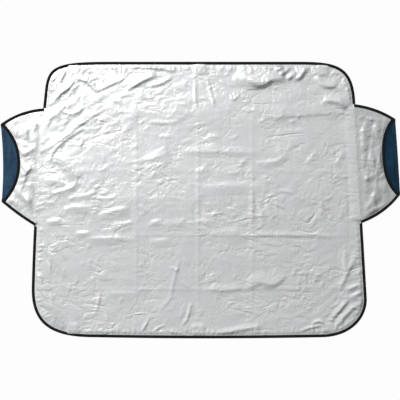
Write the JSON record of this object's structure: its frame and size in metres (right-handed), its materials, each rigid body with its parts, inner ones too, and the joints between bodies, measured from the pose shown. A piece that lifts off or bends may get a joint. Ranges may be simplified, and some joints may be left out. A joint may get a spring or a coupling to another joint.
{
  "type": "windshield frost cover",
  "caption": "Silver trapezoid sheet bound in black tape, with an open-mouthed pocket at each side and magnets along its edges, laid over a windshield against frost.",
  "frame": {"origin": "centre of the cover's outline, on the surface that it lies on", "axes": "+X across the car, to the right as seen facing its windshield; +Y up the glass towards the roof; +Z out of the silver face"},
  "size_m": [1.7562, 1.218, 0.0135],
  "materials": {
    "silver_film_cloth": "crinkled, bright metallic film on cloth",
    "blue_cloth": "dark blue, slightly shiny",
    "black_tape": "matt black, ribbed folded tape",
    "magnet_grey": "dull grey"
  },
  "bodies": {
    "root": {"main_panel": "silver_film_cloth", "top_binding": "black_tape", "bottom_binding": "black_tape", "left_pocket_back": "blue_cloth", "left_pocket_front": "silver_film_cloth", "left_pocket_top_binding": "black_tape", "left_pocket_bottom_binding": "black_tape", "left_mouth_binding": "black_tape", "right_pocket_back": "blue_cloth", "right_pocket_front": "silver_film_cloth", "right_pocket_top_binding": "black_tape", "right_pocket_bottom_binding": "black_tape", "right_mouth_binding": "black_tape", "magnet_top_left": "magnet_grey", "magnet_top_middle": "magnet_grey", "magnet_top_right": "magnet_grey", "magnet_bottom_left": "magnet_grey", "magnet_bottom_middle": "magnet_grey", "magnet_bottom_right": "magnet_grey", "magnet_patch_top_left": "blue_cloth", "magnet_patch_top_middle": "blue_cloth", "magnet_patch_top_right": "blue_cloth", "magnet_patch_bottom_left": "blue_cloth", "magnet_patch_bottom_middle": "blue_cloth", "magnet_patch_bottom_right": "blue_cloth"}
  },
  "joints": []
}
